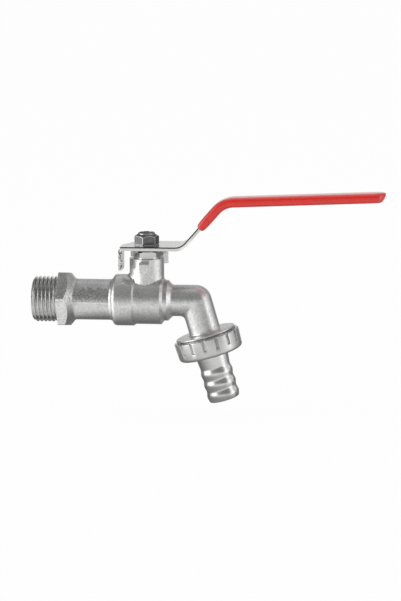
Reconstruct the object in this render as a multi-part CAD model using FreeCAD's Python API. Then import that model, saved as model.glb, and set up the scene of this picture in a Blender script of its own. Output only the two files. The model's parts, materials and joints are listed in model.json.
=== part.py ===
import FreeCAD, Part
import math
import os

# Quarter-turn ball tap with a hose tail, in millimetres
# X runs along the inlet axis towards the spout and Z is up
# The origin is on the inlet axis, where the inlet thread meets its hexagon

# Inlet connector: G1/2 male thread, hexagon, cone, plain tube and the end screwed into the body
inlet_thread_dia = 20.955
inlet_thread_length = 12.0
inlet_thread_chamfer = 1.1
inlet_thread_pitch = 1.814
inlet_thread_depth = 1.162
inlet_thread_land = 0.35
inlet_hex_flats = 24.0
inlet_hex_full = 3.4
inlet_hex_chamfer = 0.3
inlet_hex_turn = 10.0
inlet_cone_angle = 50.0
inlet_cone_round = 1.6
inlet_tube_dia = 18.7
inlet_bore_dia = 14.0
joint_step = 1.15
joint_thread_length = 3.9
joint_nose_run = 2.5
joint_flare = 0.6
joint_bore_back = 2.7
joint_groove_width = 1.5
joint_groove_depth = 1.25
joint_land = 0.6

# Body, turned sections along X
body_start = 24.9
socket_wall = 1.9
socket_length = 9.3
socket_round = 1.8
step_length = 1.2
ball_wall = 2.25
shoulder_chamfer = 1.1
ring_wall = 0.55
ring_length = 1.9
ring_floor = 0.9
ring_run = 2.0
ring_round = 1.4
edge_round = 0.35
spout_dia = 14.4
spout_bore_dia = 10.0

# Spout, bent down from the mitre point
elbow_from_ring = 12.6
outlet_tilt = 16.0
elbow_inner_radius = 2.5
disc_top = 15.1
disc_thick = 1.1
disc_chamfer = 0.5
disc_dia = 27.6
disc_fillet = 0.8
outlet_thread_dia = 26.441
outlet_relief_dia = 24.4
outlet_relief_length = 0.8

# Ball, seats and waterway
ball_dia = 16.5
ball_bore_dia = 10.0
seat_gap = 0.3
seat_bore_margin = 0.2
seat_thick = 4.3
seat_over_ball = 0.65
chamber_clearance = 0.05
seat_margin = 0.45

# Neck, stem and packing
neck_dia = 15.7
gland_room = 5.1
neck_fillet = 1.5
stem_dia = 8.0
stem_running = 0.05
tongue_width = 3.0
tongue_length = 8.0
tongue_play = 0.2
slot_over_bore = 1.0
flange_over_chamber = 0.15
stem_flange_thick = 1.5
stem_flange_dia = 9.8
stem_flange_play = 0.1
thrust_washer_thick = 0.8
stem_bearing_length = 3.3
o_ring_section = 1.15
o_ring_play = 0.1
o_ring_from_flange = 1.8
packing_thick = 2.0
gland_thread_dia = 12.0
thread_play = 0.05
gland_hex_flats = 12.8
gland_hex_gap = 0.9
gland_hex_thick = 2.4
gland_hex_turn = 47.6
stem_top_dia = 6.0
stem_flats = 4.7
flat_play = 0.05
stem_end_recess = 0.5

# Stop lugs, front and back of the neck
lug_width = 4.3
lug_out = 2.95
lug_height = 4.9
lug_drop = 1.0
lug_chamfer = 0.9

# Lever, one bent plate
lever_thick = 1.7
lever_lift = 4.5
grip_width = 10.4
head_over_tab = 0.9
head_cut = 5.5
head_cut_round = 4.0
head_corner_round = 6.0
neckdown_start = 15.0
neckdown_end = 22.5
bend_one_out = 17.2
bend_two_out = 35.2
bend_two_rise = 20.35
tip_out = 107.0
tip_rise = 23.15
bend_one_radius = 6.5
bend_two_radius = 7.0
tab_bend_radius = 1.0
tab_gap = 0.3
left_tab_drop = 4.8
left_tab_room = 2.15
left_tab_width = 7.6
left_tab_tip_round = 0.8
back_tab_drop = 3.9
back_tab_width = 6.1
back_tab_room = 0.95

# Dipped sleeve on the grip
sleeve_thick = 4.6
sleeve_width = 12.4
sleeve_start = 9.6
sleeve_tip_wall = 1.3
sleeve_round = 1.9

# Self-locking lever nut
lever_nut_flats = 10.0
lever_nut_foot_chamfer = 0.3
lever_nut_cone_start = 3.6
lever_nut_cone_end = 4.8
lever_nut_turn = 40.5
lever_nut_height = 5.5
collar_dia = 7.8
collar_round = 0.5
collar_lip = 0.4
insert_thick = 1.3
insert_dia = 7.0
collar_mouth_dia = 6.5

# Union nut, hose washer and hose tail, placed along the outlet axis from the mitre point
union_dia_top = 30.4
union_dia_bottom = 29.6
union_height = 8.7
union_top_gap = 0.5
union_bottom_round = 1.6
union_lip_thick = 1.6
union_slot_count = 16
union_slot_width = 1.3
union_slot_depth = 1.1
union_slot_length = 5.0
union_thread_play = 0.3
union_tail_play = 0.3
washer_thick = 1.6
washer_bore_dia = 12.0
tail_flange_dia = 23.6
tail_flange_thick = 1.6
tail_neck_dia = 14.9
tail_bore_dia = 10.5
tail_valley_dia = 13.9
tail_ridge_dia = 15.0
tail_exposed = 21.8
tail_first_valley = 6.2
tail_pitch = 5.15
tail_rise = 2.5
tail_ridge_count = 3
tail_crest_round = 1.1
tail_valley_round = 0.9
tail_end_chamfer = 0.9
tail_bore_chamfer = 0.5

# Small amount by which cutting tools and joined stubs run past a face
past = 1.0

# Half the angle between two corners of a hexagon
hex_half_angle = 30.0

# Distance under which two points count as touching
touch = 0.001

# Places that follow from the sizes above
seat_dia = ball_dia + 2 * seat_margin
seat_bore_dia = ball_bore_dia + 2 * seat_bore_margin
seat_back = ball_dia / 2 + seat_over_ball
seat_front = seat_back - seat_thick
chamber_dia = seat_dia + 2 * chamber_clearance
ball_clear_radius = ball_dia / 2 + seat_gap
slot_floor = ball_bore_dia / 2 + slot_over_bore
joint_thread_dia = chamber_dia + 2 * joint_step
socket_dia = joint_thread_dia + 2 * socket_wall
ball_section_dia = chamber_dia + 2 * ball_wall
ring_dia = chamber_dia + 2 * ring_wall
stem_x = body_start + joint_thread_length + joint_nose_run + seat_back
chamber_start = stem_x - seat_back
chamber_end = stem_x + seat_back
ring_end = chamber_end + ring_floor
ring_start = ring_end - ring_length
elbow_x = ring_end + elbow_from_ring
stem_flange_bottom = chamber_dia / 2 + flange_over_chamber
stem_flange_top = stem_flange_bottom + stem_flange_thick
neck_shoulder = stem_flange_top + thrust_washer_thick
gland_seat = neck_shoulder + stem_bearing_length
neck_top = gland_seat + gland_room
gland_hex_bottom = neck_top + gland_hex_gap
lug_reach = neck_dia / 2 + lug_out
lug_top = neck_top - lug_drop
lug_bottom = lug_top - lug_height
lever_bottom = neck_top + lever_lift
lever_top = lever_bottom + lever_thick
lever_middle = lever_bottom + lever_thick / 2
bend_two_up = lever_middle + bend_two_rise
tip_up = lever_middle + tip_rise
left_tab_inner = neck_dia / 2 + left_tab_room
left_tab_bottom = neck_top - left_tab_drop
head_left = left_tab_inner + head_over_tab
back_tab_inner = neck_dia / 2 + back_tab_room
back_tab_bottom = neck_top - back_tab_drop
head_width = 2 * (back_tab_inner + lever_thick)
lever_nut_top = lever_top + lever_nut_height
insert_bottom = lever_nut_top - collar_lip - insert_thick
union_top = disc_top + disc_thick + union_top_gap
union_bottom = union_top + union_height
tail_flange_bottom = union_bottom - union_lip_thick
washer_bottom = tail_flange_bottom - tail_flange_thick
outlet_face = washer_bottom - washer_thick
tail_end = union_bottom + tail_exposed


def V(x, y, z):
    return FreeCAD.Vector(x, y, z)


# A closed outline in the XZ plane through corners (a, b) or (a, b, round radius)
def outline(corners):
    points = [V(corner[0], 0, corner[1]) for corner in corners]
    rounds = [corner[2] if len(corner) > 2 else 0 for corner in corners]
    count = len(points)
    starts = []
    ends = []
    edges = []
    for i in range(count):
        here = points[i]
        back = (points[i - 1] - here).normalize()
        ahead = (points[(i + 1) % count] - here).normalize()
        half_angle = back.getAngle(ahead) / 2
        setback = rounds[i] / math.tan(half_angle)
        starts.append(here + back * setback)
        ends.append(here + ahead * setback)
        if rounds[i] > 0:
            inward = (back + ahead).normalize()
            middle = here + inward * (rounds[i] / math.sin(half_angle) - rounds[i])
            edges.append(Part.Arc(starts[i], middle, ends[i]).toShape())
        else:
            edges.append(None)
    path = []
    for i in range(count):
        if edges[i]:
            path.append(edges[i])
        following = starts[(i + 1) % count]
        if ends[i].distanceToPoint(following) > touch:
            path.append(Part.makeLine(ends[i], following))
    return Part.Wire(path)


# A solid turned about the X axis from corners (along, radius)
def turned(corners):
    return Part.Face(outline(corners)).revolve(V(0, 0, 0), V(1, 0, 0), 360)


def cylinder(start, end, dia):
    return Part.makeCylinder(dia / 2, end - start, V(start, 0, 0), V(1, 0, 0))


# A tube about the X axis
def ring(start, end, outer_dia, inner_dia):
    return cylinder(start, end, outer_dia).cut(cylinder(start - past, end + past, inner_dia))


# A prism along X with one corner turned by angle from -Y towards +Z
def hexagon(start, end, flats, angle):
    corner_radius = flats / 2 / math.cos(math.radians(hex_half_angle))
    points = []
    for i in range(7):
        turn = math.radians(angle + 60 * i)
        points.append(V(start, -corner_radius * math.cos(turn), corner_radius * math.sin(turn)))
    return Part.Face(Part.makePolygon(points)).extrude(V(end - start, 0, 0))


def box(low, high):
    size = high - low
    return Part.makeBox(size.x, size.y, size.z, low)


# Moves a shape made about the X axis onto the stem axis, pointing up
def on_stem(shape):
    return placed(shape, V(stem_x, 0, 0), -90)


# Moves a shape made about the X axis onto the outlet axis, pointing out of the spout
def on_outlet(shape):
    return placed(shape, V(elbow_x, 0, 0), 90 - outlet_tilt)


def placed(shape, place, pitch):
    moved = shape.copy()
    moved.rotate(V(0, 0, 0), V(0, 1, 0), pitch)
    moved.translate(place)
    return moved


def joined(shapes):
    return shapes[0].fuse(shapes[1:])


# The inlet thread as rings at its pitch, from the end chamfer to the hexagon
def thread_outline():
    crest = inlet_thread_dia / 2
    root = crest - inlet_thread_depth
    start = inlet_thread_chamfer - inlet_thread_length
    grooves = int(-start / inlet_thread_pitch)
    corners = [
        (-inlet_thread_length, 0),
        (-inlet_thread_length, crest - inlet_thread_chamfer),
        (start, crest),
    ]
    for i in range(grooves):
        land_end = start + i * inlet_thread_pitch + inlet_thread_land
        groove_end = min(land_end + inlet_thread_pitch - inlet_thread_land, -inlet_thread_land)
        corners.append((land_end, crest))
        corners.append(((land_end + groove_end) / 2, root))
        corners.append((groove_end, crest))
    corners.append((past, crest))
    corners.append((past, 0))
    return corners


def make_inlet_connector():
    tube_radius = inlet_tube_dia / 2
    joint_radius = joint_thread_dia / 2
    nose_radius = seat_dia / 2
    corner_radius = inlet_hex_flats / 2 / math.cos(math.radians(hex_half_angle))
    cone_end = inlet_hex_full + (corner_radius - tube_radius) / math.tan(math.radians(inlet_cone_angle))
    thread = turned(thread_outline())
    cone = turned([
        (0, 0),
        (0, corner_radius - inlet_hex_chamfer),
        (inlet_hex_chamfer, corner_radius),
        (inlet_hex_full, corner_radius),
        (cone_end, tube_radius, inlet_cone_round),
        (cone_end + inlet_cone_round, tube_radius),
        (cone_end + inlet_cone_round, 0),
    ])
    collar = cone.common(hexagon(0, cone_end + inlet_cone_round, inlet_hex_flats, inlet_hex_turn))
    tube = turned([
        (cone_end, 0),
        (cone_end, tube_radius),
        (body_start - 2 * joint_flare, tube_radius, joint_flare),
        (body_start - joint_flare / 2, joint_radius),
        (body_start + joint_thread_length, joint_radius),
        (body_start + joint_thread_length, nose_radius),
        (chamber_start, nose_radius),
        (chamber_start, 0),
    ])
    solid = joined([thread, collar, tube])
    groove_end = chamber_start - joint_land
    groove = ring(groove_end - joint_groove_width, groove_end, seat_dia + past, seat_dia - 2 * joint_groove_depth)
    bore_end = body_start + joint_thread_length - joint_bore_back
    bore = turned([
        (-inlet_thread_length - past, 0),
        (-inlet_thread_length - past, inlet_bore_dia / 2),
        (bore_end, inlet_bore_dia / 2),
        (bore_end + (inlet_bore_dia - seat_bore_dia) / 2, seat_bore_dia / 2),
        (chamber_start + past, seat_bore_dia / 2),
        (chamber_start + past, 0),
    ])
    return solid.cut(groove).cut(bore)


def make_body_seal_ring():
    middle = chamber_start - joint_land - joint_groove_width / 2
    section = joint_groove_depth / 2
    seal = Part.makeTorus(seat_dia / 2 - section, section, V(middle, 0, 0), V(1, 0, 0))
    return seal


# The inner edge of the bend, where the spout's two straight runs meet
def inner_bend_edges(shape):
    mitre = math.radians((90 - outlet_tilt) / 2)
    across = V(math.cos(mitre), 0, -math.sin(mitre))
    inward = V(-math.sin(mitre), 0, -math.cos(mitre))
    found = []
    for edge in shape.Edges:
        middle = edge.valueAt((edge.FirstParameter + edge.LastParameter) / 2) - V(elbow_x, 0, 0)
        if abs(middle.dot(across)) < touch and middle.dot(inward) > spout_dia / 2:
            found.append(edge)
    return found


def make_body_outside():
    socket_end = body_start + socket_length
    ball_start = socket_end + step_length
    ball_end = ring_start - shoulder_chamfer
    spout_radius = spout_dia / 2
    run = turned([
        (body_start, 0),
        (body_start, socket_dia / 2, socket_round),
        (socket_end, socket_dia / 2, edge_round),
        (ball_start, ball_section_dia / 2, edge_round),
        (ball_end, ball_section_dia / 2, edge_round),
        (ring_start, ring_dia / 2, edge_round),
        (ring_end, ring_dia / 2, edge_round),
        (ring_end + ring_run, spout_radius, ring_round),
        (elbow_x, spout_radius),
        (elbow_x, 0),
    ])
    disc_bottom = disc_top + disc_thick
    outlet = on_outlet(turned([
        (0, 0),
        (0, spout_radius),
        (disc_top, spout_radius, disc_fillet),
        (disc_top, disc_dia / 2, edge_round),
        (disc_bottom - disc_chamfer, disc_dia / 2),
        (disc_bottom, disc_dia / 2 - disc_chamfer),
        (disc_bottom, outlet_relief_dia / 2),
        (disc_bottom + outlet_relief_length, outlet_relief_dia / 2),
        (disc_bottom + outlet_relief_length, outlet_thread_dia / 2, edge_round),
        (outlet_face, outlet_thread_dia / 2, edge_round),
        (outlet_face, 0),
    ]))
    outside_bend = Part.makeSphere(spout_radius, V(elbow_x, 0, 0))
    bent = joined([run, outlet, outside_bend])
    return bent.makeFillet(elbow_inner_radius, inner_bend_edges(bent))


def make_lug(side):
    middle_z = lug_bottom + lug_width / 2
    root = neck_dia / 4
    foot = Part.makeCylinder(lug_width / 2, lug_reach - root, V(0, root, middle_z), V(0, 1, 0))
    upright = Part.Face(Part.makePolygon([
        V(-lug_width / 2, root, middle_z),
        V(-lug_width / 2, lug_reach, middle_z),
        V(-lug_width / 2, lug_reach, lug_top - lug_chamfer),
        V(-lug_width / 2, lug_reach - lug_chamfer, lug_top),
        V(-lug_width / 2, root, lug_top),
        V(-lug_width / 2, root, middle_z),
    ])).extrude(V(lug_width, 0, 0))
    lug = joined([foot, upright])
    if side < 0:
        lug.rotate(V(0, 0, 0), V(0, 0, 1), 180)
    lug.translate(V(stem_x, 0, 0))
    return lug


# The neck's root on one turned section of the body, rounded where the two meet
def make_neck_root(start, end, dia):
    neck = on_stem(cylinder(0, neck_top, neck_dia))
    saddle = cylinder(stem_x - neck_dia, stem_x + neck_dia, dia)
    both = saddle.fuse(neck)
    meeting = []
    for edge in both.Edges:
        middle = edge.valueAt((edge.FirstParameter + edge.LastParameter) / 2)
        off_wall = abs(math.hypot(middle.x - stem_x, middle.y) - neck_dia / 2)
        off_saddle = abs(math.hypot(middle.y, middle.z) - dia / 2)
        if off_wall < touch and off_saddle < touch:
            meeting.append(edge)
    rounded = both.makeFillet(neck_fillet, meeting)
    reach = on_stem(cylinder(0, neck_top, neck_dia + 3 * neck_fillet))
    return rounded.common(reach).common(box(V(start, -neck_dia, 0), V(end, neck_dia, neck_top)))


# The neck stands across three turned sections, each with its own stretch of rounded root
def make_neck_roots():
    step_middle = body_start + socket_length + step_length / 2
    ring_middle = ring_start - shoulder_chamfer / 2
    return [
        make_neck_root(stem_x - neck_dia, step_middle, socket_dia),
        make_neck_root(step_middle, ring_middle, ball_section_dia),
        make_neck_root(ring_middle, stem_x + neck_dia, ring_dia),
    ]


def make_valve_body():
    outside = joined([make_body_outside()] + make_neck_roots() + [make_lug(-1), make_lug(1)])
    spout_bore = cylinder(chamber_end - past, elbow_x, spout_bore_dia)
    outlet_bore = on_outlet(cylinder(0, outlet_face + past, spout_bore_dia))
    bore_bend = Part.makeSphere(spout_bore_dia / 2, V(elbow_x, 0, 0))
    chamber = cylinder(chamber_start - joint_bore_back - past, chamber_end, chamber_dia)
    joint_bore = cylinder(
        body_start - past, body_start + joint_thread_length + thread_play, joint_thread_dia + 2 * thread_play
    )
    stem_hole = on_stem(turned([
        (0, 0),
        (0, stem_flange_dia / 2 + stem_flange_play),
        (neck_shoulder, stem_flange_dia / 2 + stem_flange_play),
        (neck_shoulder, stem_dia / 2 + stem_running),
        (gland_seat, stem_dia / 2 + stem_running),
        (gland_seat, gland_thread_dia / 2 + thread_play),
        (neck_top + past, gland_thread_dia / 2 + thread_play),
        (neck_top + past, 0),
    ]))
    solid = outside
    for tool in (joined([spout_bore, outlet_bore, bore_bend]), chamber, joint_bore, stem_hole):
        solid = solid.cut(tool)
    return solid


def make_ball():
    ball = Part.makeSphere(ball_dia / 2, V(stem_x, 0, 0))
    bore = cylinder(stem_x - ball_dia, stem_x + ball_dia, ball_bore_dia)
    half_slot = tongue_width / 2 + tongue_play
    slot = box(V(stem_x - half_slot, -ball_dia, slot_floor), V(stem_x + half_slot, ball_dia, ball_dia))
    return ball.cut(bore).cut(slot)


def make_seat_ring(side):
    blank = ring(seat_front, seat_back, seat_dia, seat_bore_dia)
    seat = blank.cut(Part.makeSphere(ball_clear_radius))
    if side < 0:
        seat = seat.mirror(V(0, 0, 0), V(1, 0, 0))
    seat.translate(V(stem_x, 0, 0))
    return seat


def make_stem():
    stem_radius = stem_dia / 2
    groove_start = stem_flange_top + thrust_washer_thick + o_ring_from_flange - o_ring_section / 2
    groove_end = groove_start + o_ring_section + o_ring_play
    groove_radius = stem_radius + stem_running - o_ring_play - o_ring_section
    thread_end = lever_nut_top - stem_end_recess
    turned_part = on_stem(turned([
        (stem_flange_bottom, 0),
        (stem_flange_bottom, stem_flange_dia / 2),
        (stem_flange_top, stem_flange_dia / 2),
        (stem_flange_top, stem_radius),
        (groove_start, stem_radius),
        (groove_start, groove_radius),
        (groove_end, groove_radius),
        (groove_end, stem_radius),
        (lever_bottom, stem_radius),
        (lever_bottom, stem_top_dia / 2),
        (thread_end, stem_top_dia / 2, edge_round),
        (thread_end, 0),
    ]))
    tongue_bottom = slot_floor + tongue_play
    tongue = box(
        V(stem_x - tongue_width / 2, -tongue_length / 2, tongue_bottom),
        V(stem_x + tongue_width / 2, tongue_length / 2, stem_flange_bottom + stem_flange_thick / 2),
    )
    stem = joined([turned_part, tongue])
    for side in (-1, 1):
        low_y = min(side * stem_flats / 2, side * stem_dia)
        flat = box(
            V(stem_x - stem_dia, low_y, lever_bottom),
            V(stem_x + stem_dia, low_y + stem_dia - stem_flats / 2, lever_nut_top),
        )
        stem = stem.cut(flat)
    return stem


def make_stem_o_ring():
    middle = stem_flange_top + thrust_washer_thick + o_ring_from_flange + o_ring_play / 2
    radius = stem_dia / 2 + stem_running - o_ring_play - o_ring_section / 2
    return Part.makeTorus(radius, o_ring_section / 2, V(stem_x, 0, middle))


def make_thrust_washer():
    return on_stem(ring(stem_flange_top, neck_shoulder, stem_flange_dia, stem_dia + 2 * stem_running))


def make_stem_packing():
    return on_stem(ring(gland_seat, gland_seat + packing_thick, gland_thread_dia, stem_dia + 2 * stem_running))


def make_gland_nut():
    hex_top = gland_hex_bottom + gland_hex_thick
    corner_radius = gland_hex_flats / 2 / math.cos(math.radians(hex_half_angle))
    blank = turned([
        (gland_hex_bottom, 0),
        (gland_hex_bottom, corner_radius),
        (hex_top - edge_round, corner_radius),
        (hex_top, corner_radius - 2 * edge_round),
        (hex_top, 0),
    ])
    head = blank.common(hexagon(gland_hex_bottom, hex_top, gland_hex_flats, gland_hex_turn + hex_half_angle))
    shank = cylinder(gland_seat + packing_thick, gland_hex_bottom + edge_round, gland_thread_dia)
    bore = cylinder(gland_seat, hex_top + past, stem_dia + 2 * stem_running)
    return on_stem(joined([head, shank]).cut(bore))


# The lever's middle line from the flat head to the tip, as (out, up) corners with bend radii
def lever_line():
    return [
        (0, lever_middle, 0),
        (bend_one_out, lever_middle, bend_one_radius),
        (bend_two_out, bend_two_up, bend_two_radius),
        (tip_out, tip_up, 0),
    ]


# A strip of even thickness on both sides of a line of (out, up) corners with bend radii
def lever_strip(corners, thickness, width):
    lower = []
    upper = []
    count = len(corners)
    for i in range(count):
        here = V(corners[i][0], 0, corners[i][1])
        before = V(corners[max(i - 1, 0)][0], 0, corners[max(i - 1, 0)][1])
        after = V(corners[min(i + 1, count - 1)][0], 0, corners[min(i + 1, count - 1)][1])
        into = (here - before).normalize() if i > 0 else (after - here).normalize()
        out = (after - here).normalize() if i < count - 1 else into
        bisector = (V(-into.z, 0, into.x) + V(-out.z, 0, out.x)).normalize()
        reach = thickness / 2 / bisector.dot(V(-into.z, 0, into.x))
        turn = into.cross(out).y
        grow = 0 if corners[i][2] == 0 else math.copysign(thickness / 2, turn)
        upper.append(((here + bisector * reach).x, (here + bisector * reach).z, corners[i][2] + grow))
        lower.append(((here - bisector * reach).x, (here - bisector * reach).z, corners[i][2] - grow))
    side = Part.Face(outline(lower + upper[::-1]))
    strip = side.extrude(V(0, width, 0))
    strip.translate(V(0, -width / 2, 0))
    return strip


# A flat outline of (out, across) corners, made into an upright block
def upright_block(corners, bottom, top):
    wire = outline(corners)
    wire.rotate(V(0, 0, 0), V(1, 0, 0), -90)
    block = Part.Face(wire).extrude(V(0, 0, top - bottom))
    block.translate(V(0, 0, bottom))
    return block


def make_lever():
    line = lever_line()
    line[0] = (-head_left, lever_middle, 0)
    strip = lever_strip(line, lever_thick, head_width)
    half_head = head_width / 2
    half_grip = grip_width / 2
    left_back = -lug_width / 2 - tab_gap
    plan = upright_block([
        (-head_left, -half_head, edge_round),
        (-head_left, left_back),
        (-head_cut, half_head, head_cut_round),
        (neckdown_start, half_head, head_corner_round),
        (neckdown_end, half_grip, head_corner_round),
        (tip_out, half_grip, half_grip - edge_round),
        (tip_out, -half_grip, half_grip - edge_round),
        (neckdown_end, -half_grip, head_corner_round),
        (neckdown_start, -half_head, head_corner_round),
    ], 0, 2 * tip_up)
    plate = strip.common(plan)
    tab_outer = left_tab_inner + lever_thick
    left_tab = Part.Face(outline([
        (-head_left + 2 * lever_thick, lever_bottom),
        (-left_tab_inner, lever_bottom, tab_bend_radius),
        (-left_tab_inner, left_tab_bottom, left_tab_tip_round),
        (-tab_outer, left_tab_bottom, left_tab_tip_round),
        (-tab_outer, lever_top, tab_bend_radius + lever_thick),
        (-head_left + 2 * lever_thick, lever_top),
    ])).extrude(V(0, left_tab_width, 0))
    left_tab.translate(V(0, left_back - left_tab_width, 0))
    back_tab = Part.Face(outline([
        (half_head - 2 * lever_thick, lever_bottom),
        (back_tab_inner, lever_bottom, tab_bend_radius),
        (back_tab_inner, back_tab_bottom),
        (back_tab_inner + lever_thick, back_tab_bottom),
        (back_tab_inner + lever_thick, lever_top, tab_bend_radius + lever_thick),
        (half_head - 2 * lever_thick, lever_top),
    ])).extrude(V(0, back_tab_width, 0))
    back_tab.rotate(V(0, 0, 0), V(0, 0, 1), 90)
    back_tab.translate(V(lug_width / 2 + tab_gap + back_tab_width, 0, 0))
    lever = joined([plate, left_tab, back_tab])
    hole = Part.makeCylinder(stem_top_dia / 2 + flat_play, 2 * lever_thick, V(0, 0, lever_bottom - past))
    half_flat = stem_flats / 2 + flat_play
    flats = box(V(-stem_dia, -half_flat, 0), V(stem_dia, half_flat, lever_nut_top))
    lever = lever.cut(hole.common(flats))
    lever.translate(V(stem_x, 0, 0))
    return lever


def make_lever_sleeve(lever):
    line = lever_line()
    rise = V(bend_two_out - bend_one_out, 0, bend_two_up - lever_middle).normalize()
    grip = V(tip_out - bend_two_out, 0, tip_up - bend_two_up).normalize()
    start = V(bend_one_out, 0, lever_middle) + rise * sleeve_start
    end = V(tip_out, 0, tip_up) + grip * sleeve_tip_wall
    corners = [(start.x, start.z, 0), line[2], (end.x, end.z, 0)]
    strip = lever_strip(corners, sleeve_thick, sleeve_width)
    half = sleeve_width / 2
    past_tip = end.x + sleeve_thick * math.sin(math.atan2(grip.z, grip.x))
    plan = upright_block([
        (0, -half),
        (0, half),
        (past_tip, half, half - edge_round),
        (past_tip, -half, half - edge_round),
    ], 0, 2 * tip_up)
    sleeve = strip.common(plan)
    long_edges = []
    for edge in sleeve.Edges:
        middle = edge.valueAt((edge.FirstParameter + edge.LastParameter) / 2)
        at_start = abs((middle - start).dot(rise)) < 0.01
        tip_side = abs(edge.Vertexes[0].Z - edge.Vertexes[-1].Z) > sleeve_thick / 2
        if not at_start and not tip_side:
            long_edges.append(edge)
    sleeve = sleeve.makeFillet(sleeve_round, long_edges)
    sleeve.translate(V(stem_x, 0, 0))
    return sleeve.cut(lever)


def make_lever_nut():
    cone_end = lever_top + lever_nut_cone_end
    corner_radius = lever_nut_flats / 2 / math.cos(math.radians(hex_half_angle))
    blank = turned([
        (lever_top, 0),
        (lever_top, corner_radius - lever_nut_foot_chamfer),
        (lever_top + lever_nut_foot_chamfer, corner_radius),
        (lever_top + lever_nut_cone_start, corner_radius),
        (cone_end, collar_dia / 2),
        (cone_end, 0),
    ])
    head = blank.common(hexagon(lever_top, cone_end, lever_nut_flats, lever_nut_turn + hex_half_angle))
    collar = turned([
        (cone_end - past, 0),
        (cone_end - past, collar_dia / 2),
        (lever_nut_top, collar_dia / 2, collar_round),
        (lever_nut_top, 0),
    ])
    bore = turned([
        (lever_top - past, 0),
        (lever_top - past, stem_top_dia / 2 + thread_play),
        (insert_bottom, stem_top_dia / 2 + thread_play),
        (insert_bottom, insert_dia / 2),
        (insert_bottom + insert_thick, insert_dia / 2),
        (insert_bottom + insert_thick, collar_mouth_dia / 2),
        (lever_nut_top + past, collar_mouth_dia / 2),
        (lever_nut_top + past, 0),
    ])
    return on_stem(joined([head, collar]).cut(bore))


def make_nut_insert():
    insert_top = insert_bottom + insert_thick
    return on_stem(ring(insert_bottom, insert_top, insert_dia, stem_top_dia + 2 * thread_play))


def make_union_nut():
    bore_radius = outlet_thread_dia / 2 + union_thread_play
    tail_hole = tail_neck_dia / 2 + union_tail_play
    nut = turned([
        (union_top, bore_radius),
        (union_top, union_dia_top / 2, edge_round),
        (union_bottom, union_dia_bottom / 2, union_bottom_round),
        (union_bottom, tail_hole),
        (tail_flange_bottom, tail_hole),
        (tail_flange_bottom, bore_radius),
    ])
    depth_start = union_dia_top / 2 - union_slot_depth
    for i in range(union_slot_count):
        slot = box(
            V(union_top - past, -union_slot_width / 2, depth_start),
            V(union_top + union_slot_length, union_slot_width / 2, union_dia_top),
        )
        slot.rotate(V(0, 0, 0), V(1, 0, 0), 360 * i / union_slot_count)
        nut = nut.cut(slot)
    return on_outlet(nut)


def make_hose_washer():
    return on_outlet(ring(outlet_face, washer_bottom, tail_flange_dia, washer_bore_dia))


def make_hose_tail():
    valley = tail_valley_dia / 2
    ridge = tail_ridge_dia / 2
    bore = tail_bore_dia / 2
    corners = [
        (washer_bottom, bore),
        (washer_bottom, tail_flange_dia / 2),
        (tail_flange_bottom, tail_flange_dia / 2),
        (tail_flange_bottom, tail_neck_dia / 2),
        (union_bottom, tail_neck_dia / 2),
    ]
    for i in range(tail_ridge_count):
        low = union_bottom + tail_first_valley + tail_pitch * i
        corners.append((low, valley, tail_valley_round))
        corners.append((low + tail_rise, ridge, tail_crest_round))
    corners.append((tail_end, valley, tail_end_chamfer))
    corners.append((tail_end, bore + tail_bore_chamfer))
    corners.append((tail_end - tail_bore_chamfer, bore))
    return on_outlet(turned(corners))


def main():
    lever = make_lever()
    parts = {
        "inlet_connector": make_inlet_connector(),
        "body_seal_ring": make_body_seal_ring(),
        "valve_body": make_valve_body(),
        "ball": make_ball(),
        "seat_ring_inlet": make_seat_ring(-1),
        "seat_ring_outlet": make_seat_ring(1),
        "stem": make_stem(),
        "stem_o_ring": make_stem_o_ring(),
        "thrust_washer": make_thrust_washer(),
        "stem_packing": make_stem_packing(),
        "gland_nut": make_gland_nut(),
        "lever": lever,
        "lever_sleeve": make_lever_sleeve(lever),
        "lever_nut": make_lever_nut(),
        "nut_insert": make_nut_insert(),
        "union_nut": make_union_nut(),
        "hose_washer": make_hose_washer(),
        "hose_tail": make_hose_tail(),
    }
    os.makedirs("parts", exist_ok=True)
    for name, shape in parts.items():
        box_now = shape.BoundBox
        print(name, "valid" if shape.isValid() else "INVALID", len(shape.Solids), "solid, volume",
              round(shape.Volume, 1), "x", round(box_now.XMin, 2), round(box_now.XMax, 2),
              "z", round(box_now.ZMin, 2), round(box_now.ZMax, 2))
        shape.exportStep("parts/" + name + ".step")


main()
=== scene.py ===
import bpy
import bmesh
import json
import math
from mathutils import Matrix, Vector


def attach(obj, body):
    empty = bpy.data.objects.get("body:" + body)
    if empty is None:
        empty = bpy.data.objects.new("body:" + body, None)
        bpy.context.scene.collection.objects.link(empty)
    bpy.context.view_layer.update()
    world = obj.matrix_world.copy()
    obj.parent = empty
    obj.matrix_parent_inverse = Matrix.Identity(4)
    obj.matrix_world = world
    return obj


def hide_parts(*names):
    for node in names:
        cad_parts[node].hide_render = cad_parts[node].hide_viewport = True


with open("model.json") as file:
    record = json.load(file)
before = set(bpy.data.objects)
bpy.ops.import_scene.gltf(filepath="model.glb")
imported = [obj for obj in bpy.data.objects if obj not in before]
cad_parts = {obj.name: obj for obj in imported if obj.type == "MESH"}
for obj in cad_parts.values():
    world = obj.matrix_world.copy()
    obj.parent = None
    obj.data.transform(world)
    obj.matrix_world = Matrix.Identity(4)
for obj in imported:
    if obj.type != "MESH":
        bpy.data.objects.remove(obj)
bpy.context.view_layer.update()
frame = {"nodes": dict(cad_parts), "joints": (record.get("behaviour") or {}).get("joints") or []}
nodes = frame["nodes"]
print("frame loaded,", len(nodes), "nodes")

mm = 0.001

# Axes that the pieces are turned about, taken from the frame's joints
joints = {joint["name"]: joint for joint in frame["joints"]}
stemX = joints["lever_turn"]["pos_m"][0]
outletStart = Vector(joints["union_nut_turn"]["pos_m"])
outletAxis = Vector(joints["union_nut_turn"]["axis"]).normalized()


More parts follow.
